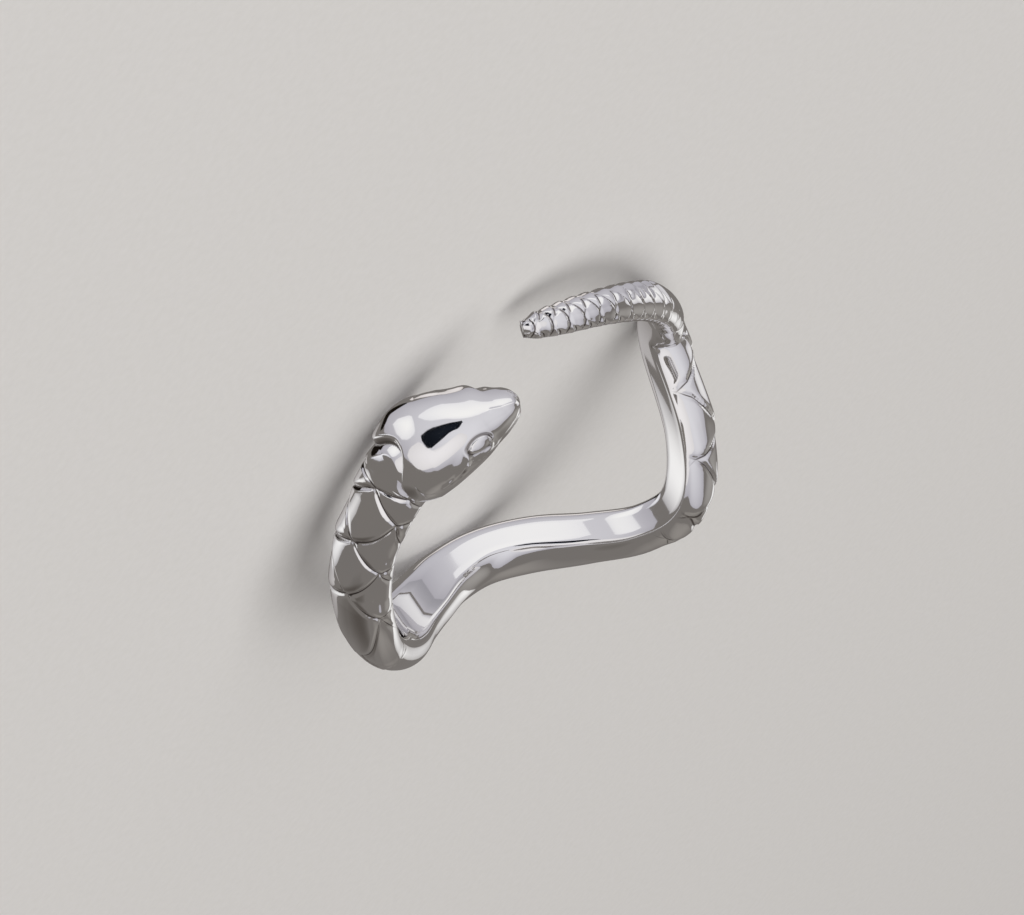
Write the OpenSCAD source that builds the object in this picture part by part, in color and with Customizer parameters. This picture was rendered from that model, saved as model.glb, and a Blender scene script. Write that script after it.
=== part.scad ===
// Open wrap ring shaped as a snake, one solid casting, in millimetres.
// The finger axis is the working Z here; lay_down() then rests the ring on its side on Z = 0.

/* [Finger] */
// Inside diameter of the band, where the finger sits
finger_d = 17.4; // [15:0.1:20]
// Farthest that the body's middle line wanders along the finger
sway = 4.6; // [2:0.1:6]

/* [Body] */
// Widest part of the body across its back
body_w = 4.1; // [3:0.1:5]
// Height of the body above the finger, back of the hand
body_t = 2.1; // [1.6:0.1:2.8]
// Share of the width that the flat inner face takes
flat_share = 0.6; // [0.4:0.05:0.85]

/* [Head] */
// Width across the jaws
head_w = 4.6; // [3.5:0.1:5.5]
// Height of the crown above the finger
head_t = 2.05; // [1.5:0.05:2.6]
// Share of the head's width that its flat underside takes
jaw_flat_share = 0.93; // [0.7:0.01:0.95]
// Length of an eye
eye_d = 0.8; // [0.4:0.05:1.2]
// How far an eye stands out
eye_rise = 0.16; // [0.05:0.01:0.3]
// Step from the head's back rim down to the neck
nape_step = 0.22; // [0:0.01:0.4]

/* [Tail] */
// Width of the tail where it starts
tail_w = 2.3; // [1.8:0.1:3]
// Height of the tail where it starts
tail_t = 1.35; // [1:0.05:2]

/* [Scales] */
// Step at the free edge of a body scale
scale_step = 0.2; // [0:0.01:0.35]
// Step at the free edge of a tail scale
tail_step = 0.15; // [0:0.01:0.25]

/* [Output] */
// Piece to draw

/* [Hidden] */
finger_r = finger_d / 2;

// Columns of the tables below
ANGLE = 0;
SWAY = 1;
WIDTH = 2;
THICK = 3;

// Angle round the finger, then shares of sway, head_w and head_t, snout to neck
head_rows = [
  [103.5, 0.54, 0.16, 0.22],
  [105.5, 0.59, 0.42, 0.43],
  [109, 0.65, 0.63, 0.66],
  [114, 0.67, 0.76, 0.82],
  [120, 0.67, 0.89, 0.95],
  [127, 0.63, 0.98, 1.00],
  [134, 0.57, 0.99, 0.97],
  [141, 0.55, 0.83, 0.92],
  [148, 0.58, 0.80, 0.85]
];
// The same for the body, as shares of sway, body_w and body_t
body_rows = [
  [155, 0.61, 0.88, 0.83],
  [163, 0.62, 0.89, 0.87],
  [176, 0.66, 0.96, 0.95],
  [190, 0.70, 1.00, 0.98],
  [204, 0.56, 0.95, 1.00],
  [214, 0.40, 0.91, 1.00],
  [223, 0.21, 0.85, 1.01],
  [232, -0.06, 0.78, 1.01],
  [242, -0.34, 0.72, 1.02],
  [254, -0.65, 0.68, 1.04],
  [268, -0.82, 0.67, 1.08],
  [282, -0.72, 0.65, 1.08],
  [297, -0.38, 0.56, 1.03],
  [312, 0.00, 0.53, 0.96],
  [327, 0.16, 0.51, 0.92],
  [342, -0.23, 0.50, 0.96],
  [357, -1.03, 0.53, 0.95],
  [370, -0.95, 0.57, 0.77]
];
// The same for the tail, as shares of sway, tail_w and tail_t
tail_rows = [
  [382, -0.73, 0.98, 0.99],
  [393, -0.53, 0.93, 0.94],
  [405, -0.34, 0.83, 0.88],
  [420, -0.15, 0.76, 0.81],
  [436, -0.03, 0.67, 0.73],
  [445, -0.02, 0.52, 0.65],
  [449.5, -0.05, 0.30, 0.45]
];
// Angle, and the inner face's width there against its usual share
flat_rows = [[156, 1.02], [204, 0.98], [223, 0.88], [242, 1], [268, 0.78], [282, 0.77], [300, 0.88],
  [327, 1.15], [342, 0.97], [450, 0.97]];
// Angle, the count of scales passed there, and how strong their relief is, neck to palm
front_scales = [[139, 0.5, 0], [143, 0.54, 0.6], [145.5, 1, 0.8], [151, 1.5, 1], [161, 2, 1], [166, 2.5, 1],
  [176, 3, 1], [181.5, 3.5, 1], [197, 4, 1], [202, 4.5, 0.6], [210, 4.9, 0]];
// The same from the palm up to the tail tip, counted the other way
back_scales = [[315, 23.4, 0], [320, 22.9, 1], [326, 22, 1], [331, 21.5, 1], [337, 21, 1], [343, 20.5, 1],
  [348, 20, 1], [354, 19.5, 1], [367, 19, 1], [381, 18, 1], [391, 17, 1], [403, 15, 1], [414, 13, 1],
  [426, 11, 1], [436, 9, 1], [449.5, 6, 1]];

function rows_in_mm(rows, w, t) = [for (r = rows) [r[ANGLE], r[SWAY] * sway, r[WIDTH] * w, r[THICK] * t]];
rows = concat(rows_in_mm(head_rows, head_w, head_t), rows_in_mm(body_rows, body_w, body_t),
  rows_in_mm(tail_rows, tail_w, tail_t));
last = len(rows) - 1;

// Smooth curve through one column of the rows
function slope(i, c) = let(a = max(i - 1, 0), b = min(i + 1, last))
  (rows[b][c] - rows[a][c]) / (rows[b][ANGLE] - rows[a][ANGLE]);
function row_before(x, i = 0) = i >= last - 1 || rows[i + 1][ANGLE] > x ? i : row_before(x, i + 1);
function smooth(x, c) = let(i = row_before(x), d = rows[i + 1][ANGLE] - rows[i][ANGLE],
    u = (x - rows[i][ANGLE]) / d)
  (2 * u^3 - 3 * u^2 + 1) * rows[i][c] + (u^3 - 2 * u^2 + u) * d * slope(i, c)
  + (3 * u^2 - 2 * u^3) * rows[i + 1][c] + (u^3 - u^2) * d * slope(i + 1, c);
function ramp(x, a, b) = max(0, min(1, (x - a) / (b - a)));
function column(table, c) = [for (r = table) [r[ANGLE], r[c]]];

// Where the cross-sections stand: ends of the stretches, and sections in each
stretch_ends = [103.5, 146, 236, 318, 392, 449.5];
stretch_sections = [46, 74, 26, 54, 66];
stations = concat([for (k = [0:4], i = [0:stretch_sections[k] - 1])
  stretch_ends[k] + (stretch_ends[k + 1] - stretch_ends[k]) * i / stretch_sections[k]], [stretch_ends[5]]);

// Places round a cross-section: 0 is the crest, 1 the widest point, 1.4 the edge of the inner face
FLANK = 0.4;
back_places = 8;
places = concat([-1 - FLANK, -1 - FLANK / 2], [for (i = [-back_places:back_places]) i / back_places],
  [1 + FLANK / 2, 1 + FLANK]);

// Squareness of the back by angle, 2 is an ellipse; and the widest point's height as a share of thickness
squareness = [[134, 2.35], [150, 2.05]];
widest_at = 0.45;

// Scales lie in rows along the body, each staggered by half a scale against the next; a scale climbs to
// its U shaped free edge and is a little domed across
scale_rows = [-2:2];
stagger = 0.5;
edge_depth = 0.5;
doming = 0.25;
palm = 270;
tail_start = [366, 392];
row_gaps = [[236, 0.76], [318, 0.9], [449.5, 0.94]];
row_shifts = [[141, 0.05], [161, 0.1], [176, 0.22], [200, 0.27], [236, 0.27], [318, 0.15], [348, 0.28],
  [367, 0.3], [385, 0], [403, -0.35], [449.5, -0.45]];
function fraction(v) = v - floor(v);
function plate_height(count, u, k) = abs(u) > 1 ? 0
  : (1 - fraction(abs(k) % 2 * stagger - edge_depth * u^2 - count)) * (1 - doming * u^2);
function tallest_plate(count, p, shift, gap) =
  max([for (k = scale_rows) plate_height(count, (p - shift) / gap - k, k)]);
function scale_step_at(a) = scale_step + (tail_step - scale_step) * ramp(a, tail_start[0], tail_start[1]);
function scale_rise(a, p) = let(table = a < palm ? front_scales : back_scales,
    strength = lookup(a, column(table, 2)))
  strength == 0 ? 0 : scale_step_at(a) * strength * (1 - ramp(abs(p), 1, 1 + FLANK))
    * tallest_plate(lookup(a, column(table, 1)), p, lookup(a, row_shifts), lookup(a, row_gaps));

// Head: its back rim with two lobes that meet in a notch over the spine, and an eye on each side,
// one a little lower down its flank
nape = 139.4;
nape_slope = [-0.4, 0.6];
crown_swell = [124, 132];
nape_fade = [0.9, 1.3];
notch_depth = 6.6;
notch_place = 0.08;
notch_w = 0.34;
function nape_edge(p) = nape - notch_depth * exp(-((p - notch_place) / notch_w)^2);
function nape_rise(a, p) = let(edge = nape_edge(p))
  nape_step * (1 - ramp(a, edge + nape_slope[0], edge + nape_slope[1]))
    * ramp(a, crown_swell[0], crown_swell[1]) * (1 - ramp(abs(p), nape_fade[0], nape_fade[1]));
eye_at = 117.5;
eye_places = [-0.98, 0.8];
eye_squeeze = 1.3;
function eye_bump(a, p, half_w) = let(along = (a - eye_at) * PI / 180 * finger_r,
    away = min([for (e = eye_places) abs(p - e)]), across = away * half_w * eye_squeeze,
    d = norm([along, across]) / (eye_d / 2))
  d < 1 ? eye_rise * sqrt(1 - d^2) : 0;
function head_rise(a, p, half_w) = nape_rise(a, p) + eye_bump(a, p, half_w);

// One cross-section: x along the body's width, y out from the finger
jaw_end = [138, 156];
function flat_at(a) = let(share = flat_share * lookup(a, flat_rows))
  jaw_flat_share + (share - jaw_flat_share) * ramp(a, jaw_end[0], jaw_end[1]);
function sign_pow(v, e) = sign(v) * abs(v)^e;
function section_point(p, half_w, half_flat, t, e) = let(base = widest_at * t)
  abs(p) <= 1
    ? [half_w * sign_pow(sin(90 * p), e), base + (t - base) * sign_pow(max(cos(90 * p), 0), e)]
    : let(q = (abs(p) - 1) / FLANK * 90)
      [sign(p) * (half_flat + (half_w - half_flat) * cos(q)), base * (1 - sin(q))];
function section_normal(p, half_w, half_flat, t, e) = let(d = 0.02, lo = max(p - d, -1 - FLANK),
    hi = min(p + d, 1 + FLANK),
    v = section_point(hi, half_w, half_flat, t, e) - section_point(lo, half_w, half_flat, t, e))
  [-v[1], v[0]] / norm(v);
function raised_point(a, p, half_w, half_flat, t, e) = let(rise = scale_rise(a, p) + head_rise(a, p, half_w),
    smooth_point = section_point(p, half_w, half_flat, t, e))
  rise == 0 ? smooth_point : smooth_point + rise * section_normal(p, half_w, half_flat, t, e);

// Lays a flat cross-section across the body's middle line, round the finger
function wrapped(a, w, turn, pt) = let(angle = a - turn[0] * pt[0] / finger_r * 180 / PI,
    r = finger_r + pt[1])
  [r * cos(angle), r * sin(angle), w + turn[1] * pt[0]];
function turn_at(a) = let(d = 0.2, climb = (smooth(a + d, SWAY) - smooth(a - d, SWAY)) / (2 * d * PI / 180),
    l = norm([finger_r, climb])) [climb / l, finger_r / l];
function ring_points(a) = let(w = smooth(a, SWAY), turn = turn_at(a), half_w = smooth(a, WIDTH) / 2,
    half_flat = half_w * flat_at(a), t = smooth(a, THICK), e = 2 / lookup(a, squareness))
  [for (p = places) wrapped(a, w, turn, raised_point(a, p, half_w, half_flat, t, e))];
function middle(points) = [for (c = [0:2]) [for (q = points) q[c]] * [for (q = points) 1] / len(points)];

module snake_ring() {
  sections = [for (a = stations) ring_points(a)];
  n = len(places);
  m = len(sections);
  points = concat([for (s = sections) each s], [middle(sections[0]), middle(sections[m - 1])]);
  sides = [for (i = [0:m - 2], j = [0:n - 1]) let(k = (j + 1) % n) each [
    [i * n + j, i * n + k, (i + 1) * n + k],
    [i * n + j, (i + 1) * n + k, (i + 1) * n + j]
  ]];
  snout = [for (j = [0:n - 1]) [m * n, (j + 1) % n, j]];
  tail_tip = [for (j = [0:n - 1]) [m * n + 1, (m - 1) * n + j, (m - 1) * n + (j + 1) % n]];
  color([0.86, 0.86, 0.88]) lay_down() polyhedron(points, concat(sides, snout, tail_tip), convexity = 6);
}

// The ring lies on its side: turned about the finger axis, leant onto its resting points, lifted to Z = 0
rest_heading = -54.76;
rest_lean = -20.37;
rest_offset = [0.43, -0.35, 3.18];
module lay_down() translate(rest_offset) rotate([rest_lean, 0, 0]) rotate([0, 0, rest_heading]) children();

snake_ring();
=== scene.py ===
import math
from functools import partial

import bpy
import numpy as np
from mathutils import Matrix, Vector


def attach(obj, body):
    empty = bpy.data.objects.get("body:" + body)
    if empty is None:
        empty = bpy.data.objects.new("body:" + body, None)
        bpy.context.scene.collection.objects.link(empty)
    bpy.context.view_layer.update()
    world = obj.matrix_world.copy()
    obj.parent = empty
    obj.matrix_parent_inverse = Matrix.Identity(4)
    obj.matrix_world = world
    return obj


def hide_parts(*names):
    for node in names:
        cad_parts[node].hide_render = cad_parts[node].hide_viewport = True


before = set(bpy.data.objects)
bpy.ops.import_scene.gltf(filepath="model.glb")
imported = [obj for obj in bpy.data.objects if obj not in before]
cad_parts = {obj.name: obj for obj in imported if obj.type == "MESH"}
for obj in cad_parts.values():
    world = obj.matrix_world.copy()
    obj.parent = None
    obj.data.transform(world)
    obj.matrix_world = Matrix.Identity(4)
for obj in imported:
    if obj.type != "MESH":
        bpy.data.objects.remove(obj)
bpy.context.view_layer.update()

MM = 0.001

# The ring's own sizes, in mm, as in the solid
FINGER_R = 8.7
SWAY = 4.6
BODY_W, BODY_T, FLAT_SHARE = 4.1, 2.1, 0.6
HEAD_W, HEAD_T, JAW_FLAT_SHARE = 4.6, 2.05, 0.93
TAIL_W, TAIL_T = 2.3, 1.35
SCALE_STEP, TAIL_STEP = 0.2, 0.15
NAPE_STEP = 0.22
EYE_LONG, EYE_WIDE, EYE_RISE = 0.8, 0.58, 0.16

# Angle round the finger, then shares of the sway, width and thickness: snout to neck, body, tail
HEAD_ROWS = [
    (103.5, 0.54, 0.16, 0.20),
    (105.5, 0.59, 0.42, 0.40),
    (109, 0.65, 0.61, 0.57),
    (114, 0.67, 0.74, 0.77),
    (120, 0.67, 0.88, 0.94),
    (127, 0.63, 0.98, 1.00),
    (134, 0.57, 0.99, 0.97),
    (141, 0.55, 0.83, 0.92),
    (148, 0.58, 0.80, 0.85),
]
BODY_ROWS = [
    (155, 0.61, 0.88, 0.83),
    (163, 0.62, 0.89, 0.87),
    (176, 0.66, 0.96, 0.95),
    (190, 0.70, 1.00, 0.98),
    (204, 0.56, 0.95, 1.00),
    (214, 0.40, 0.91, 1.00),
    (223, 0.21, 0.85, 1.01),
    (232, -0.06, 0.78, 1.01),
    (242, -0.34, 0.72, 1.02),
    (254, -0.65, 0.68, 1.04),
    (268, -0.82, 0.67, 1.08),
    (282, -0.72, 0.65, 1.08),
    (297, -0.38, 0.56, 1.03),
    (312, 0.00, 0.53, 0.96),
    (327, 0.16, 0.51, 0.92),
    (342, -0.23, 0.50, 0.96),
    (357, -1.03, 0.53, 0.95),
    (370, -0.95, 0.57, 0.77),
]
TAIL_ROWS = [
    (382, -0.73, 0.98, 0.99),
    (393, -0.53, 0.93, 0.94),
    (405, -0.34, 0.83, 0.88),
    (420, -0.15, 0.76, 0.81),
    (436, -0.03, 0.67, 0.73),
    (445, -0.02, 0.52, 0.65),
    (449.5, -0.05, 0.30, 0.45),
]
# Angle, and the inner face's width there against its usual share
FLAT_ROWS = [(156, 1.02), (204, 0.98), (223, 0.88), (242, 1), (268, 0.78), (282, 0.77), (300, 0.88),
             (327, 1.15), (342, 0.97), (450, 0.97)]
# Angle, count of scales passed there, and how strong their relief is, neck to palm; then palm to tail tip
FRONT_SCALES = [(139, 0.5, 0), (143, 0.54, 0.6), (145.5, 1, 0.8), (151, 1.5, 1), (161, 2, 1), (166, 2.5, 1),
                (176, 3, 1), (181.5, 3.5, 1), (197, 4, 1), (200, 4.5, 1), (205, 4.8, 0.35), (210, 4.9, 0)]
BACK_SCALES = [(315, 23.9, 0), (320, 23.4, 1), (326, 22.5, 1), (331, 22, 1), (337, 21.5, 1), (343, 21, 1),
               (348, 20.5, 1), (354, 20, 1), (367, 19.5, 1), (379, 18.5, 1), (391, 17, 1), (403, 15, 1),
               (414, 13, 1), (426, 11, 1), (436, 9, 1), (449.5, 6, 1)]
# Angles between which the scales' relief shrinks to the tail's
SCALES_SHRINK = (366, 392)
# Angle, and the distance between rows of scales; angle, and where the middle row lies
ROW_GAPS = [(236, 0.76), (318, 0.9), (449.5, 0.94)]
ROW_SHIFTS = [(141, 0.05), (161, 0.1), (176, 0.22), (200, 0.27), (236, 0.27), (318, 0.15), (348, 0.28),
              (367, 0.3), (385, 0), (403, -0.35), (449.5, -0.45)]
# In shares of a scale: offset of neighbouring rows, depth of the U of a free edge; and how domed a scale is
STAGGER, EDGE_DEPTH, DOMING = 0.5, 0.5, 0.5
# Angle, and how far from a U towards a V the free edges are there
POINTED = [(366, 0.6), (385, 0.1)]
# Angle, and how much a scale lies flat and then curls up to its free edge
CURL = [(300, 0.3), (370, 0.3), (390, 0.5)]
# Rounding behind a scale's free edge, the steep side in front of it, and the groove at its foot, in mm
LIP_LENGTH, DROP_LENGTH, GROOVE_LENGTH, GROOVE_DEPTH = 0.27, 0.11, 0.17, 0.08
# How much the lip is rounded off and the steep side's head is cut, in shares of the relief
LIP_ROUND, DROP_ROUND = 0.35, 0.3
# Half the width of the painted shade line in a groove, in mm
DARK_LINE = 0.045
# A free edge lies open to this squared place across its row, more where it is pointed, and fades this fast
OPEN_TO, OPEN_FADE = 0.4, 5.0

# How the ring lies: turned about the finger axis, leant onto its side, moved
REST_HEADING, REST_LEAN = -54.76, -20.37
REST_OFFSET = Vector((0.43, -0.35, 3.18))
LIE = Matrix.Rotation(math.radians(REST_LEAN), 3, "X") @ Matrix.Rotation(math.radians(REST_HEADING), 3, "Z")


def lay_down(points):
    """Ring coordinates in mm, finger axis along Z, to the frame's metres."""
    turn = np.array(LIE)
    return (points @ turn.T + np.array(REST_OFFSET)) * MM


# Shape of the band
def rows_in_mm(rows, width, thick):
    return [(a, s * SWAY, w * width, t * thick) for a, s, w, t in rows]


ROWS = np.array(rows_in_mm(HEAD_ROWS, HEAD_W, HEAD_T) + rows_in_mm(BODY_ROWS, BODY_W, BODY_T)
                + rows_in_mm(TAIL_ROWS, TAIL_W, TAIL_T))


def smooth_column(x, column):
    """Smooth curve through one column of the rows, at the angles x."""
    ang, val = ROWS[:, 0], ROWS[:, column]
    slope = np.empty(len(ang))
    slope[1:-1] = (val[2:] - val[:-2]) / (ang[2:] - ang[:-2])
    slope[0] = (val[1] - val[0]) / (ang[1] - ang[0])
    slope[-1] = (val[-1] - val[-2]) / (ang[-1] - ang[-2])
    i = np.clip(np.searchsorted(ang, x, side="right") - 1, 0, len(ang) - 2)
    d = ang[i + 1] - ang[i]
    u = (x - ang[i]) / d
    return ((2 * u**3 - 3 * u**2 + 1) * val[i] + (u**3 - 2 * u**2 + u) * d * slope[i]
            + (3 * u**2 - 2 * u**3) * val[i + 1] + (u**3 - u**2) * d * slope[i + 1])


def table_at(x, table, column):
    return np.interp(x, [r[0] for r in table], [r[column] for r in table])


def ramp(x, a, b):
    return np.clip((x - a) / (b - a), 0, 1)


def soft_ramp(x, a, b):
    u = ramp(x, a, b)
    return u * u * (3 - 2 * u)


# Section places: 0 is the crest, 1 the widest point, 1 + FLANK the rim of the inner face
FLANK = 0.4
# Angle and squareness of the back, 2 is an ellipse; and the widest point's height as a share of the thickness
SQUARENESS, WIDEST_AT = [(134, 2.35), (150, 2.05)], 0.45


def section(place, half_w, half_flat, thick, e):
    """Width and height, in mm, of the smooth back and flanks."""
    base = WIDEST_AT * thick
    q = math.radians(90) * np.clip(place, -1, 1)
    x = half_w * np.sign(np.sin(q)) * np.abs(np.sin(q)) ** e
    y = base + (thick - base) * np.clip(np.cos(q), 0, 1) ** e
    f = math.radians(90) * np.clip((np.abs(place) - 1) / FLANK, 0, 1)
    low = np.abs(place) > 1
    x = np.where(low, np.sign(place) * (half_flat + (half_w - half_flat) * np.cos(f)), x)
    y = np.where(low, base * (1 - np.sin(f)), y)
    return x, y


def wrap(angle, sway, climb_turn, x, y):
    """Lays section points across the body's middle line and round the finger."""
    around, along = climb_turn
    a = np.radians(angle) - around * x / FINGER_R
    r = FINGER_R + y
    return np.stack([r * np.cos(a), r * np.sin(a), sway + along * x], -1)


# Sections round the finger, from angle to angle, closest where scales and head have their finest lines
STRETCHES = [(103.5, 146, 220), (146, 236, 245), (236, 318, 50), (318, 392, 215), (392, 449.5, 220)]
angles = np.concatenate([np.linspace(a, b, n, endpoint=False) for a, b, n in STRETCHES] + [[449.5]])
# Points across a section, from place to place, closest on the side that has the eye
PLACE_STRETCHES = [(-1.4, -1, 5), (-1, -0.3, 20), (-0.3, 0, 11), (0, 0.5, 19), (0.5, 1, 32), (1, 1.4, 10)]
FACE_POINTS = 4
places = np.concatenate([np.linspace(a, b, n, endpoint=False) for a, b, n in PLACE_STRETCHES]
                        + [[1 + FLANK]])
# Angles between which the head's flat jaw gives way to the body's narrower inner face
JAW_NARROWS = (138, 156)

sway = smooth_column(angles, 1)
half_w = smooth_column(angles, 2) / 2
thick = smooth_column(angles, 3)
flat_share = FLAT_SHARE * table_at(angles, FLAT_ROWS, 1)
half_flat = half_w * (JAW_FLAT_SHARE + (flat_share - JAW_FLAT_SHARE) * ramp(angles, *JAW_NARROWS))
climb = np.gradient(sway, np.radians(angles))
length = np.hypot(FINGER_R, climb)
turn = (climb / length, FINGER_R / length)


def columns(*values):
    return [v[:, None] for v in values]


A, W, HW, HF, T, T0, T1 = columns(angles, sway, half_w, half_flat, thick, *turn)
P = places[None, :]
E = 2 / table_at(angles, SQUARENESS, 1)[:, None]
x, y = section(P, HW, HF, T, E)
# Distances in mm on the surface: along the middle line, and across from the crest
along = np.concatenate([[0], np.cumsum((length[1:] + length[:-1]) / 2 * np.diff(np.radians(angles)))])
steps = np.hypot(np.diff(x, axis=1), np.diff(y, axis=1))
across = np.concatenate([np.zeros((len(angles), 1)), np.cumsum(steps, axis=1)], axis=1)
across -= across[:, [np.argmin(np.abs(places))]]
smooth_points = wrap(A, W, (T0, T1), x, y)


def outward(points):
    n = np.cross(np.gradient(points, axis=0), np.gradient(points, axis=1))
    n /= np.linalg.norm(n, axis=-1, keepdims=True) + 1e-12
    middle = points.mean(axis=1, keepdims=True)
    return n * np.sign(((points - middle) * n).sum(-1, keepdims=True))


rise_dir = outward(smooth_points)

# Relief of the head
def spot_in_mm(angle, place):
    """Where a ring angle and section place lie, in mm along and across."""
    row = np.argmin(np.abs(angles - angle))
    return np.array([np.interp(angle, angles, along), np.interp(place, places, across[row])])


def ridge(spots, width):
    """1 on a line through those spots, falling to 0 a width away."""
    ends = [spot_in_mm(*spot) for spot in spots]
    nearest = np.full(across.shape, np.inf)
    for a, b in zip(ends[:-1], ends[1:]):
        to_a, to_b = along[:, None] - a[0], b - a
        t = np.clip((to_a * to_b[0] + (across - a[1]) * to_b[1]) / (to_b @ to_b), 0, 1)
        nearest = np.minimum(nearest, np.hypot(to_a - t * to_b[0], across - a[1] - t * to_b[1]))
    return np.exp(-(nearest / width) ** 2)


def bell(distance, middle, width):
    """1 at the middle distance, falling to 0 on both sides."""
    return np.exp(-((distance - middle) / width) ** 2)


# The nape: where the head's back edge lies, and the notch in it
NAPE, NOTCH_DEPTH, NOTCH_PLACE, NOTCH_W = 139.4, 6.6, 0.08, 0.34
# Past that edge, in mm: its drop, its rounding, the groove at its foot and the hollow that runs out behind
RIM_DROP, RIM_ROUND, FOOT_AT, FOOT_W, HOLLOW_LENGTH = 0.1, 0.12, 0.15, 0.06, 0.5
# The head swells towards its back edge, from SWELL_FROM or on the far side up to SWELL_LATER degrees later
SWELL_FROM, SWELL_LATER, SWELL_TO = 109, 13, 135
# Painted shade in the groove of the nape: how far past the edge, how wide, and between which angles it begins
NAPE_SHADE_AT, NAPE_SHADE_W, NAPE_SHADE_BEGINS = 0.13, 0.05, (128, 131)
nape_edge = NAPE - NOTCH_DEPTH * np.exp(-((P - NOTCH_PLACE) / NOTCH_W) ** 2)
past = np.radians(A - nape_edge) * length[:, None]
rim = np.clip(1 - past / RIM_DROP, 0, 1) - 0.15 * (1 - np.clip(np.abs(past) / RIM_ROUND, 0, 1)) ** 2
hollow = np.clip(1 - (past - FOOT_AT) / HOLLOW_LENGTH, 0, 1) ** 1.3
foot = 0.5 * np.where(past < FOOT_AT, bell(past, FOOT_AT, FOOT_W), hollow)
swell_start = SWELL_FROM + SWELL_LATER * soft_ramp(-P, 0.2, 0.8)
fade = 1 - soft_ramp(np.abs(P), 0.9, 1.3)
head_rise = NAPE_STEP * (rim - foot) * soft_ramp(A, swell_start, SWELL_TO) * fade
# Painted shade along the nape's groove
painted_recess_shade = bell(past, NAPE_SHADE_AT, NAPE_SHADE_W) * soft_ramp(A, *NAPE_SHADE_BEGINS) * fade
# The eyes: almond beads in shallow sockets, one lower down its flank and flatter
EYE = 117.3
EYE_LEAN = (0.85, 0.53)
SOCKET_DEPTH, SOCKET_AT, SOCKET_W = 0.09, 1.12, 0.15
for side, place, rise_share in ((1, 0.81, 1), (-1, 1.15, 0.3)):
    eye = spot_in_mm(EYE, side * place)
    a, b = along[:, None] - eye[0], (across - eye[1]) * side
    out = np.hypot((a * EYE_LEAN[0] + b * EYE_LEAN[1]) / (EYE_LONG / 2),
                   (b * EYE_LEAN[0] - a * EYE_LEAN[1]) / (EYE_WIDE / 2))
    bead = EYE_RISE * np.clip(1 - out**2.6, 0, 1) ** 0.6
    head_rise = head_rise + rise_share * (bead - SOCKET_DEPTH * bell(out, SOCKET_AT, SOCKET_W))
    # Painted shade in a ring round the eye's socket
    painted_recess_shade = np.maximum(painted_recess_shade, 0.9 * bell(out, 1.1, 0.12))
    # On both sides a cheek crease and the mouth line: depth, width, and angle and place of each spot
    for depth, wide, spots in (
            (-0.03, 0.07, [(134.2, 0.74), (133, 0.86), (131, 0.98)]),
            (-0.035, 0.06, [(105.5, 1.22), (114, 1.25), (121, 1.25), (128, 1.24)])):
        head_rise = head_rise + depth * ridge([(spot, side * at) for spot, at in spots], wide)
# A crease on the snout, the jaw line behind the upper eye, the lid below that eye, and a line behind the lid
for depth, wide, spots in (
        (0.035, 0.09, [(110.8, 0.3), (109, 0.42), (107.4, 0.62)]),
        (0.1, 0.09, [(119.6, 0.76), (121.4, 0.95), (123.2, 0.99), (125.3, 1.03), (128, 0.99)]),
        (0.1, 0.08, [(121.4, 0.97), (119.8, 1.06), (118.5, 1.1), (117.2, 1.1), (115.9, 1.04), (115, 0.9)]),
        (-0.05, 0.06, [(122.6, 1.07), (124.5, 1.11), (127, 1.09)])):
    line = ridge(spots, wide)
    head_rise = head_rise + depth * line
    # Painted shade along the sunken line behind the lid
    if depth < 0:
        painted_recess_shade = np.maximum(painted_recess_shade, line**3)

# The mesh, with what its scales need on each point
PALM = 270
back = angles > PALM
count = np.where(back, table_at(angles, BACK_SCALES, 1), table_at(angles, FRONT_SCALES, 1))
strength = np.where(back, table_at(angles, BACK_SCALES, 2), table_at(angles, FRONT_SCALES, 2))
step = (SCALE_STEP + (TAIL_STEP - SCALE_STEP) * ramp(angles, *SCALES_SHRINK)) * strength
row_place = (P - table_at(angles, ROW_SHIFTS, 1)[:, None]) / table_at(angles, ROW_GAPS, 1)[:, None]
scales_per_mm = np.abs(np.gradient(count, along))

points = smooth_points + head_rise[..., None] * rise_dir
n_sections, n_back = points.shape[:2]
face = np.linspace(-1, 1, FACE_POINTS + 2)[1:-1][::-1]
face_x = HF * face[None, :]
face_points = wrap(A, W, (T0, T1), face_x, 0 * face_x)
ring_points = np.concatenate([points, face_points], axis=1)
n_round = ring_points.shape[1]
ends = ring_points[[0, -1]].mean(axis=1)
all_points = np.concatenate([ring_points.reshape(-1, 3), ends])


def per_point(values):
    """A value for each back point, with zero on the inner face and the two ends."""
    shape = np.broadcast_to(values, (n_sections, n_back))
    full = np.concatenate([shape, np.zeros((n_sections, FACE_POINTS))], axis=1)
    return np.concatenate([full.ravel(), [0, 0]])


quads = []
for i in range(n_sections - 1):
    a = i * n_round + np.arange(n_round)
    b = i * n_round + (np.arange(n_round) + 1) % n_round
    quads.append(np.stack([a, b, b + n_round, a + n_round], -1))
quads = np.concatenate(quads)
snout = [(n_sections * n_round, (j + 1) % n_round, j) for j in range(n_round)]
last = (n_sections - 1) * n_round
tail_tip = [(n_sections * n_round + 1, last + j, last + (j + 1) % n_round) for j in range(n_round)]

mesh = bpy.data.meshes.new("snake_ring_polished")
mesh.from_pydata(lay_down(all_points).tolist(), [], quads.tolist() + snout + tail_tip)
ring = bpy.data.objects.new("snake_ring_polished", mesh)
bpy.context.scene.collection.objects.link(ring)


def store(name, values):
    mesh.attributes.new(name, "FLOAT", "POINT").data.foreach_set("value", values.astype(np.float32))


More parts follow.
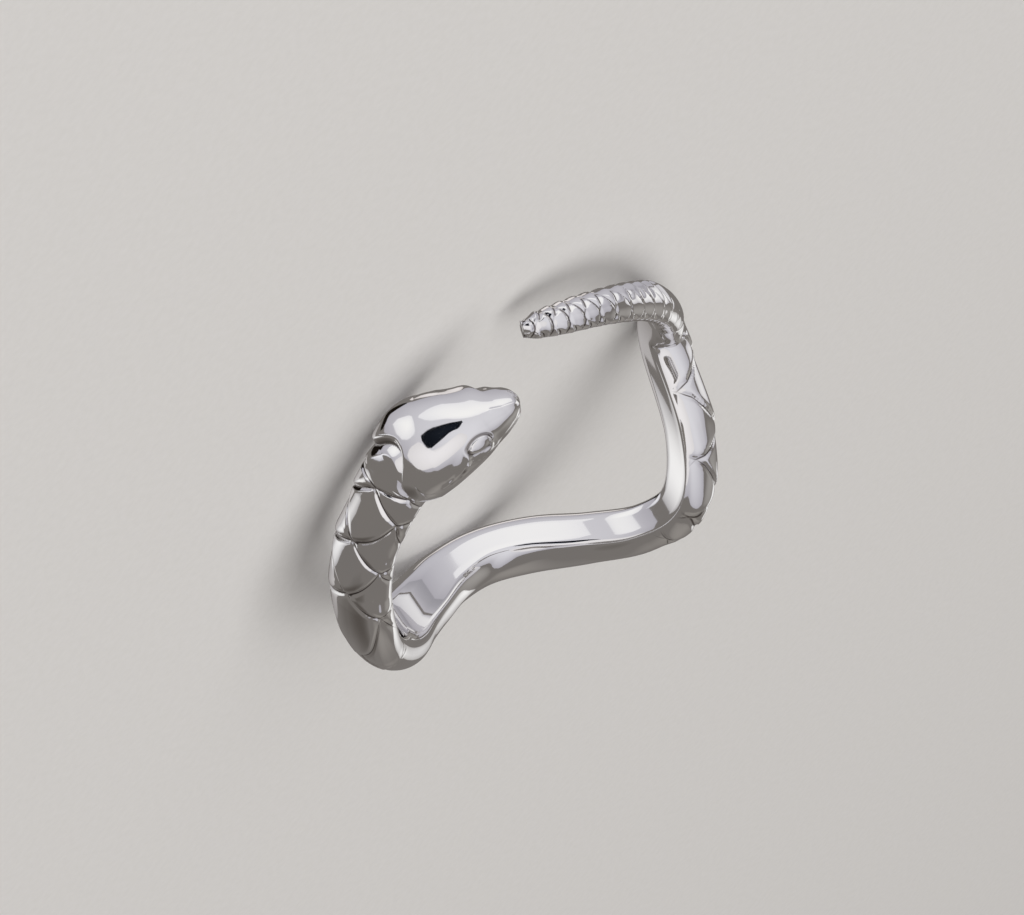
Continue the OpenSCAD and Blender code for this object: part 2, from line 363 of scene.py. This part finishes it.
store("scale_count", per_point(count[:, None]))
store("row_place", per_point(row_place))
store("scales_per_mm", per_point(scales_per_mm[:, None]))
# Mask of painted shade in the head's grooves and round the eyes
store("painted_recess_shade", per_point(painted_recess_shade))
store("curl", per_point(table_at(angles, CURL, 1)[:, None]))
store("pointed", per_point(table_at(angles, POINTED, 1)[:, None]))
store("scale_step", per_point((step[:, None] * (1 - soft_ramp(np.abs(P), 0.98, 1.3))) * MM))
rise = (rise_dir @ np.array(LIE).T).reshape(n_sections, n_back, 3)
rise = np.concatenate([rise, np.zeros((n_sections, FACE_POINTS, 3))], axis=1).reshape(-1, 3)
rise = np.concatenate([rise, np.zeros((2, 3))]).astype(np.float32)
mesh.attributes.new("rise", "FLOAT_VECTOR", "POINT").data.foreach_set("vector", rise.ravel())


# Node helpers
def add(tree, kind, links=(), inputs=(), **settings):
    """Adds a node with its properties, (socket, source) links and (socket, value) inputs."""
    made = tree.nodes.new(kind)
    for key, value in settings.items():
        setattr(made, key, value)
    for key, value in inputs:
        made.inputs[key].default_value = value
    for key, source in links:
        tree.links.new(source, made.inputs[key])
    return made


def maths(tree, operation, a, b=None):
    """One maths step between sockets or numbers; returns its result."""
    inputs, links = [], []
    for key, value in enumerate((a, b)):
        if isinstance(value, (int, float)):
            inputs.append((key, value))
        elif value is not None:
            links.append((key, value))
    return add(tree, "ShaderNodeMath", links, inputs, operation=operation).outputs[0]


def linear(hex_colour):
    """An sRGB hex colour as the linear values that sockets take."""
    channels = [int(hex_colour[i:i + 2], 16) / 255 for i in (1, 3, 5)]
    return [c / 12.92 if c <= 0.04045 else ((c + 0.055) / 1.055) ** 2.4 for c in channels] + [1.0]


# Rows of scales, for the relief and for the metal
def scale_rows(tree, count, row_place, pointed, stagger, edge_depth):
    """For each row: 1 inside it, the squared place across it, the shares of a scale ahead of and past its
    free edge, and 1 where that edge lies open, as U-shaped edges run in under the next row before they meet."""
    do = partial(maths, tree)
    above_zero = 50.0
    for k in range(-2, 3):
        u = do("SUBTRACT", row_place, float(k))
        u2 = do("MULTIPLY", u, u)
        towards_v = do("MULTIPLY", pointed, do("SUBTRACT", do("ABSOLUTE", u), u2))
        bend = do("MULTIPLY", edge_depth, do("ADD", u2, towards_v))
        edge = do("SUBTRACT", do("MULTIPLY", stagger, float(abs(k) % 2)), bend)
        ahead = do("FRACT", do("SUBTRACT", do("ADD", edge, above_zero), count))
        is_open = do("MULTIPLY", do("SUBTRACT", do("ADD", pointed, OPEN_TO), u2), OPEN_FADE)
        is_open = do("MINIMUM", do("MAXIMUM", is_open, 0.0), 1.0)
        yield do("LESS_THAN", u2, 1.0), u2, ahead, do("SUBTRACT", 1.0, ahead), is_open


# Cast sterling silver, tumbled and mirror polished: bright and neutral with faint waviness and polishing
# haze; painted shade darkens the grooves between scales and round the eye as a fine brown-black line.
# Patches a metre: polishing haze about 1.1 mm wide, tone about 3.8 mm, hand-polished waves about 2.4 mm
HAZE_SCALE, TONE_SCALE, WAVE_SCALE = 900, 260, 420
LEAST_ROUGH, MOST_ROUGH = 0.035, 0.07
WAVE_STRENGTH, WAVE_HEIGHT = 0.06, 0.1 * MM
# Crispness of the painted shade line, and how far painted shade darkens the silver
LINE_CRISPNESS, PAINTED_SHADE_STRENGTH = 1.6, 0.85


def polished_silver():
    mat = bpy.data.materials.new("mirror_polished_sterling_silver")
    mat.use_nodes = True
    tree = mat.node_tree
    do = partial(maths, tree)
    shader = tree.nodes["Principled BSDF"]
    shader.inputs["Metallic"].default_value = 1.0

    def attribute(name):
        return add(tree, "ShaderNodeAttribute", attribute_name=name).outputs["Fac"]

    place = add(tree, "ShaderNodeTexCoord").outputs["Object"]

    def patches(scale, detail):
        return add(tree, "ShaderNodeTexNoise", [("Vector", place)],
                   [("Scale", scale), ("Detail", detail)]).outputs["Fac"]

    rough = add(tree, "ShaderNodeMapRange", [("Value", patches(HAZE_SCALE, 4))],
                [("To Min", LEAST_ROUGH), ("To Max", MOST_ROUGH)])
    tree.links.new(rough.outputs[0], shader.inputs["Roughness"])
    colour = add(tree, "ShaderNodeMix", [("Factor", patches(TONE_SCALE, 2))], data_type="RGBA")
    colour.inputs["A"].default_value = linear("#F4F2EF")
    colour.inputs["B"].default_value = linear("#ECEBEC")
    # Painted shade: strongest on the line at the foot of each scale's free edge
    per_mm = do("MAXIMUM", attribute("scales_per_mm"), 0.001)
    line = 0.0
    rows = scale_rows(tree, attribute("scale_count"), attribute("row_place"), attribute("pointed"), STAGGER,
                      EDGE_DEPTH)
    for _, _, _, past_edge, is_open in rows:
        off = do("ABSOLUTE", do("SUBTRACT", do("DIVIDE", past_edge, per_mm), DROP_LENGTH))
        near = do("MULTIPLY", do("SUBTRACT", 1.0, do("DIVIDE", off, DARK_LINE)), is_open)
        line = do("MAXIMUM", line, near)
    shown = do("MINIMUM", do("DIVIDE", attribute("scale_step"), TAIL_STEP * MM), 1.0)
    line = do("MULTIPLY", do("MINIMUM", do("MULTIPLY", line, LINE_CRISPNESS), 1.0), shown)
    # Painted shade: the groove lines and the head's recesses darken the silver towards brown-black
    dark = do("MINIMUM", do("ADD", line, attribute("painted_recess_shade")), 1.0)
    painted_shade_mix = add(tree, "ShaderNodeMix", [("Factor", do("MULTIPLY", dark, PAINTED_SHADE_STRENGTH)),
                                            ("A", colour.outputs["Result"])], data_type="RGBA")
    painted_shade_mix.inputs["B"].default_value = linear("#4A3C35")
    tree.links.new(painted_shade_mix.outputs["Result"], shader.inputs["Base Color"])
    bump = add(tree, "ShaderNodeBump", [("Height", patches(WAVE_SCALE, 1))],
               [("Strength", WAVE_STRENGTH), ("Distance", WAVE_HEIGHT)])
    tree.links.new(bump.outputs[0], shader.inputs["Normal"])
    return mat


silver = polished_silver()


# Relief of the scales
def scale_relief():
    """Raises overlapping scales: in each row a plate climbs to its U-shaped free edge, drops steeply, and a
    groove follows at its foot."""
    tree = bpy.data.node_groups.new("overlapping_scales", "GeometryNodeTree")
    do = partial(maths, tree)
    tree.interface.new_socket("Geometry", in_out="INPUT", socket_type="NodeSocketGeometry")
    for name, size in RELIEF.items():
        tree.interface.new_socket(name, in_out="INPUT", socket_type="NodeSocketFloat").default_value = size
    tree.interface.new_socket("Material", in_out="INPUT", socket_type="NodeSocketMaterial")
    tree.interface.new_socket("Geometry", in_out="OUTPUT", socket_type="NodeSocketGeometry")
    given = add(tree, "NodeGroupInput").outputs

    def attribute(name, kind="FLOAT"):
        return add(tree, "GeometryNodeInputNamedAttribute", (), [("Name", name)], data_type=kind).outputs[0]

    def near(distance, reach):
        """1 at distance 0, falling smoothly to 0 at the reach."""
        left = do("MAXIMUM", do("SUBTRACT", 1.0, do("DIVIDE", distance, reach)), 0.0)
        return do("MULTIPLY", left, left)

    per_mm, curl = attribute("scales_per_mm"), attribute("curl")
    lip, drop, groove = [do("MULTIPLY", given[name + " length"], per_mm) for name in ("Lip", "Drop", "Groove")]
    lip_drop = do("MULTIPLY", do("SUBTRACT", 1.3, curl), LIP_ROUND)
    tallest = deepest = 0.0
    rows = scale_rows(tree, attribute("scale_count"), attribute("row_place"), attribute("pointed"),
                      given["Stagger"], given["Edge depth"])
    for inside, u2, ahead, past_edge, is_open in rows:
        steep = do("SUBTRACT", 1.0, do("DIVIDE", past_edge, drop))
        curled = do("MULTIPLY", curl, do("SUBTRACT", do("POWER", past_edge, 3.0), past_edge))
        height = do("MAXIMUM", do("ADD", past_edge, curled), steep)
        height = do("SUBTRACT", height, do("MULTIPLY", near(ahead, lip), lip_drop))
        height = do("SUBTRACT", height, do("MULTIPLY", near(past_edge, drop), DROP_ROUND))
        dome = do("SUBTRACT", 1.0, do("MULTIPLY", u2, given["Doming"]))
        tallest = do("MAXIMUM", tallest, do("MULTIPLY", height, do("MULTIPLY", dome, inside)))
        dip = do("SUBTRACT", 1.0, do("DIVIDE", do("ABSOLUTE", do("SUBTRACT", past_edge, drop)), groove))
        deepest = do("MAXIMUM", deepest, do("MULTIPLY", do("MAXIMUM", dip, 0.0), is_open))
    relief = do("SUBTRACT", tallest, do("MULTIPLY", deepest, given["Groove depth"]))
    height = do("MULTIPLY", relief, attribute("scale_step"))
    rise = attribute("rise", "FLOAT_VECTOR")
    offset = add(tree, "ShaderNodeVectorMath", [("Vector", rise), ("Scale", height)], operation="SCALE").outputs[0]
    moved = add(tree, "GeometryNodeSetPosition", [("Geometry", given["Geometry"]), ("Offset", offset)])
    shaded = add(tree, "GeometryNodeSetShadeSmooth", [("Geometry", moved.outputs[0])])
    real = add(tree, "GeometryNodeRealizeInstances", [("Geometry", shaded.outputs[0])])
    dressed = add(tree, "GeometryNodeSetMaterial",
                  [("Geometry", real.outputs[0]), ("Material", given["Material"])])
    add(tree, "NodeGroupOutput", [("Geometry", dressed.outputs[0])])
    return tree


def apply_tree(obj, tree, values):
    """Runs a node tree on an object with values for its named inputs, and keeps the plain mesh it makes."""
    modifier = obj.modifiers.new("relief", "NODES")
    modifier.node_group = tree
    sockets = {s.name: s.identifier for s in tree.interface.items_tree if s.in_out == "INPUT"}
    for name, value in values.items():
        modifier[sockets[name]] = value
    evaluated = obj.evaluated_get(bpy.context.evaluated_depsgraph_get())
    made = bpy.data.meshes.new_from_object(evaluated)
    obj.modifiers.remove(modifier)
    obj.data = made
    return obj


RELIEF = {"Stagger": STAGGER, "Edge depth": EDGE_DEPTH, "Doming": DOMING,
          "Lip length": LIP_LENGTH, "Drop length": DROP_LENGTH,
          "Groove length": GROOVE_LENGTH, "Groove depth": GROOVE_DEPTH / SCALE_STEP}
apply_tree(ring, scale_relief(), {**RELIEF, "Material": silver})
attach(ring, "root")
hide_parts("snake_ring")

# The camera, in the ring's own axes: the picture's right edge leans CAMERA_LEAN from X towards the finger
# axis, and the line of sight is then turned CAMERA_TURN about it
CAMERA_LEAN, CAMERA_TURN, CAMERA_FAR = math.radians(26.41), math.radians(47.78), 300
PIXELS_PER_MM, WIDE, HIGH = 22.02, 1024, 915
MIDDLE_AT = (522.7, 469.6)
SENSOR = 36
right = Vector((math.cos(CAMERA_LEAN), 0, math.sin(CAMERA_LEAN)))
towards = Vector((-math.sin(CAMERA_LEAN) * math.cos(CAMERA_TURN), math.sin(CAMERA_TURN),
                  math.cos(CAMERA_LEAN) * math.cos(CAMERA_TURN)))
upwards = towards.cross(right)
camera_data = bpy.data.cameras.new("camera")
camera_data.sensor_width = SENSOR
camera_data.lens = PIXELS_PER_MM * CAMERA_FAR * SENSOR / WIDE
camera_data.shift_x = (WIDE / 2 - MIDDLE_AT[0]) / WIDE
camera_data.shift_y = (MIDDLE_AT[1] - HIGH / 2) / WIDE
camera_data.clip_start = 0.01
camera = bpy.data.objects.new("camera", camera_data)
bpy.context.scene.collection.objects.link(camera)
axes = LIE @ Matrix((right, upwards, towards)).transposed()
camera.matrix_world = Matrix.Translation((LIE @ towards * CAMERA_FAR + REST_OFFSET) * MM) @ axes.to_4x4()
bpy.context.scene.camera = camera

# The floor and the studio's light
floor_mesh = bpy.data.meshes.new("floor")
FLOOR_HALF = 3.0
corners = [(x * FLOOR_HALF, y * FLOOR_HALF, 0) for x, y in ((-1, -1), (1, -1), (1, 1), (-1, 1))]
floor_mesh.from_pydata(corners, [], [(0, 1, 2, 3)])
floor = bpy.data.objects.new("floor", floor_mesh)
bpy.context.scene.collection.objects.link(floor)
# Smooth matt card: pale, faintly warm, with a barely visible fibre grain
card = bpy.data.materials.new("matt_card")
card.use_nodes = True
card_tree = card.node_tree
card_shader = card_tree.nodes["Principled BSDF"]
card_shader.inputs["Roughness"].default_value = 0.85
card_shader.inputs["Specular IOR Level"].default_value = 0.2
# Fibres about 0.4 mm long, so 2500 a metre
card_place = add(card_tree, "ShaderNodeTexCoord").outputs["Object"]
fibre = add(card_tree, "ShaderNodeTexNoise", [("Vector", card_place)], [("Scale", 2500), ("Detail", 3)])
card_tone = add(card_tree, "ShaderNodeMix", [("Factor", fibre.outputs["Fac"])], data_type="RGBA")
card_tone.inputs["A"].default_value = linear("#D6D4D1")
card_tone.inputs["B"].default_value = linear("#DEDCDA")
card_tree.links.new(card_tone.outputs["Result"], card_shader.inputs["Base Color"])
floor_mesh.materials.append(card)
# The studio's mirrored cards stand all round, so the polished metal mirrors them and not the floor
floor.visible_glossy = False


def softbox(name, toward, far, size, watts):
    """An area light in the direction toward, as seen from the ring, far metres away and facing it. It lights
    the floor; the metal mirrors the cards instead."""
    data = bpy.data.lights.new(name, "AREA")
    data.shape = "RECTANGLE"
    data.size, data.size_y = size
    data.energy = watts
    light = bpy.data.objects.new(name, data)
    bpy.context.scene.collection.objects.link(light)
    direction = Vector(toward).normalized()
    light.location = direction * far
    light.rotation_euler = direction.to_track_quat("Z", "Y").to_euler()
    light.visible_glossy = False


softbox("overhead", (0.1, 0.1, 1), 0.6, (0.8, 0.8), 3.4)
softbox("side_fill", (0.8, 0.6, 0.5), 0.6, (0.6, 0.4), 0.8)


def glow_material(name, rim, middle):
    """Lit translucent cloth of a softbox: evenly lit, a little brighter towards its middle."""
    mat = bpy.data.materials.new(name)
    mat.use_nodes = True
    tree = mat.node_tree
    tree.nodes.clear()
    glow = add(tree, "ShaderNodeAttribute", attribute_name="glow").outputs["Fac"]
    tone = add(tree, "ShaderNodeMix", [("Factor", glow)], data_type="RGBA")
    tone.inputs["A"].default_value = linear(rim)
    tone.inputs["B"].default_value = linear(middle)
    cloth = add(tree, "ShaderNodeEmission", [("Color", tone.outputs["Result"])])
    add(tree, "ShaderNodeOutputMaterial", [("Surface", cloth.outputs[0])])
    mat.cycles.emission_sampling = "NONE"
    return mat


def round_off(outline):
    """Cuts each corner of an outline, by a fifth of its two sides."""
    sides = zip(outline, outline[1:] + outline[:1])
    return [(x0 + (x1 - x0) * k, y0 + (y1 - y0) * k) for (x0, y0), (x1, y1) in sides for k in (0.2, 0.8)]


# Loops of a card from its middle to its rim, closest where its glow falls off
CARD_LOOPS = (0.25, 0.5, 0.7, 0.85, 0.94, 1.0)


def reflection_card(name, far, outline, rim, middle, ball_at=(0, 0, 0)):
    """A card far metres away that only the metal mirrors, outlined where it shows on a mirror ball; the ball
    stands ball_at mm right, up and towards the camera from the ring's middle."""
    spots = []
    outline = round_off(outline)
    for (x0, y0), (x1, y1) in zip(outline, outline[1:] + outline[:1]):
        spots += [(x0 + (x1 - x0) * k / 3, y0 + (y1 - y0) * k / 3) for k in range(3)]
    mid_x, mid_y = [sum(side) / len(outline) for side in zip(*outline)]
    rings = [[(mid_x + (x - mid_x) * k, mid_y + (y - mid_y) * k) for x, y in spots] for k in CARD_LOOPS]
    verts = []
    for x, y in [(mid_x, mid_y)] + [spot for loop in rings for spot in loop]:
        n = Vector((x, y, math.sqrt(max(0.0, 1 - x**2 - y**2))))
        mirrored = 2 * n.z * n - Vector((0, 0, 1))
        verts.append(axes @ (mirrored * far + Vector(ball_at) * MM) + REST_OFFSET * MM)
    m = len(spots)
    faces = [(0, 1 + i, 1 + (i + 1) % m) for i in range(m)]
    for k in range(len(CARD_LOOPS) - 1):
        a = 1 + k * m
        faces += [(a + i, a + m + i, a + m + (i + 1) % m, a + (i + 1) % m) for i in range(m)]
    mesh = bpy.data.meshes.new(name)
    mesh.from_pydata(verts, [], faces)
    glow = [1.0] + [1 - k**2 for k in CARD_LOOPS for _ in spots]
    mesh.attributes.new("glow", "FLOAT", "POINT").data.foreach_set("value", glow)
    mesh.materials.append(glow_material(name, rim, middle))
    card = bpy.data.objects.new(name, mesh)
    bpy.context.scene.collection.objects.link(card)
    card.visible_camera = card.visible_diffuse = card.visible_shadow = card.visible_transmission = False


# Each card: how far, its outline on the mirror ball (right, up; the ball's radius is 1), colours of rim and
# middle, and where the ball stands if not at the ring's middle
WALL = "#7A7673"
CARDS = [
    ("large_softbox", 0.50, [
        (-0.62, 0.14), (-0.74, 0.3), (-0.77, 0.46), (-0.66, 0.62), (-0.5, 0.7), (-0.2, 0.83), (0.0, 0.9),
        (0.2, 0.95), (0.36, 0.88), (0.46, 0.66), (0.48, 0.42), (0.58, 0.34), (0.55, 0.12), (0.48, 0.0),
        (0.54, -0.3), (0.4, -0.46), (0.2, -0.38), (0.05, -0.22), (-0.14, -0.2), (-0.3, -0.16),
        (-0.46, -0.02)], "#B4B2BA", "#E4E4EA"),
    ("left_window", 0.46, [
        (-0.68, 0.42), (-0.52, 0.47), (-0.5, 0.4), (-0.51, 0.34), (-0.58, 0.28), (-0.64, 0.26)],
     "#ECECF0", "#FFFFFF"),
    ("middle_window", 0.46, [
        (-0.48, 0.45), (-0.36, 0.55), (-0.16, 0.66), (0.05, 0.72), (0.3, 0.74), (0.3, 0.62), (0.05, 0.56),
        (-0.08, 0.54), (-0.25, 0.5), (-0.4, 0.43)], "#F0F0F4", "#FFFFFF"),
    ("low_window", 0.46, [
        (-0.6, 0.14), (-0.58, 0.22), (-0.48, 0.29), (-0.36, 0.17), (-0.24, 0.2), (-0.1, 0.34),
        (0.03, 0.26), (0.05, 0.08), (-0.04, -0.06), (-0.2, -0.11), (-0.38, -0.08), (-0.48, -0.01)],
     "#E4E2E4", "#F6F4F6"),
    ("camera_body", 0.42, [
        (-0.48, 0.32), (-0.4, 0.39), (-0.28, 0.44), (-0.18, 0.48), (-0.06, 0.52), (-0.12, 0.4),
        (-0.21, 0.36), (-0.28, 0.28), (-0.38, 0.19)], "#0C0E13", "#1C2028"),
    ("dark_frame", 0.44, [
        (-0.8, 0.36), (-0.79, 0.52), (-0.72, 0.64), (-0.54, 0.7), (-0.55, 0.66), (-0.68, 0.6),
        (-0.76, 0.48), (-0.76, 0.36)], "#17130F", "#17130F"),
    ("side_flag", 0.46, [
        (-0.82, 0.3), (-0.71, 0.27), (-0.65, 0.23), (-0.7, 0.17), (-0.8, 0.25)], "#C8C8D0", "#F4F4F8"),
    ("top_window", 0.48, [
        (-0.5, 0.76), (-0.36, 0.88), (-0.1, 0.93), (-0.08, 0.88), (-0.34, 0.78)], "#D8D2D0", "#F4F0F0"),
    ("upper_right", 0.52, [
        (0.2, 0.96), (0.42, 0.9), (0.54, 0.74), (0.56, 0.5), (0.5, 0.4), (0.4, 0.42), (0.33, 0.62),
        (0.26, 0.82)], "#BDBBC2", "#97969D"),
    ("right_window", 0.46, [
        (0.5, 0.84), (0.64, 0.74), (0.8, 0.54), (0.88, 0.38), (0.84, 0.28), (0.64, 0.32), (0.57, 0.46),
        (0.56, 0.7)], "#C4C2C8", "#FFFFFF"),
    ("left_strip", 0.06, [
        (-0.93, -0.12), (-0.88, 0.1), (-0.74, 0.12), (-0.72, -0.02), (-0.82, -0.18)],
     "#B4B2B4", "#FFFFFF", (6.5, 1, 0)),
    ("left_rim", 0.60, [
        (-0.86, 0.49), (-0.93, 0.35), (-0.985, 0.14), (-0.99, -0.08), (-0.95, -0.29), (-0.9, -0.42),
        (-0.88, -0.38), (-0.925, -0.1), (-0.925, 0.15), (-0.87, 0.34), (-0.82, 0.46)],
     "#989493", "#D2CFCF"),
    ("right_rim", 0.60, [
        (0.995, 0.05), (0.98, -0.17), (0.91, -0.41), (0.8, -0.59), (0.74, -0.56), (0.84, -0.36),
        (0.89, -0.16), (0.905, 0.05)], "#B0ADAC", "#FFFFFF"),
    ("dark_wall", 0.70, [
        (-0.9, -0.3), (-0.62, -0.25), (-0.3, -0.5), (-0.2, -0.95), (-0.55, -0.82), (-0.85, -0.5)],
     WALL, "#57524E"),
    ("right_wall", 0.70, [
        (0.6, 0.25), (0.95, 0.25), (0.98, -0.1), (0.85, -0.5), (0.6, -0.45), (0.56, -0.1)],
     WALL, "#A29F9C"),
    ("low_wall", 0.70, [
        (-0.1, -0.55), (0.3, -0.6), (0.55, -0.55), (0.8, -0.58), (0.4, -0.9), (0.0, -0.98), (-0.1, -0.8)],
     WALL, "#94908C"),
]
for row in CARDS:
    reflection_card(*row)

world = bpy.data.worlds.new("studio")
bpy.context.scene.world = world
world.use_nodes = True
world.node_tree.nodes["Background"].inputs["Color"].default_value = linear(WALL)
world.node_tree.nodes["Background"].inputs["Strength"].default_value = 1.0

bpy.context.scene.view_settings.view_transform = "Standard"
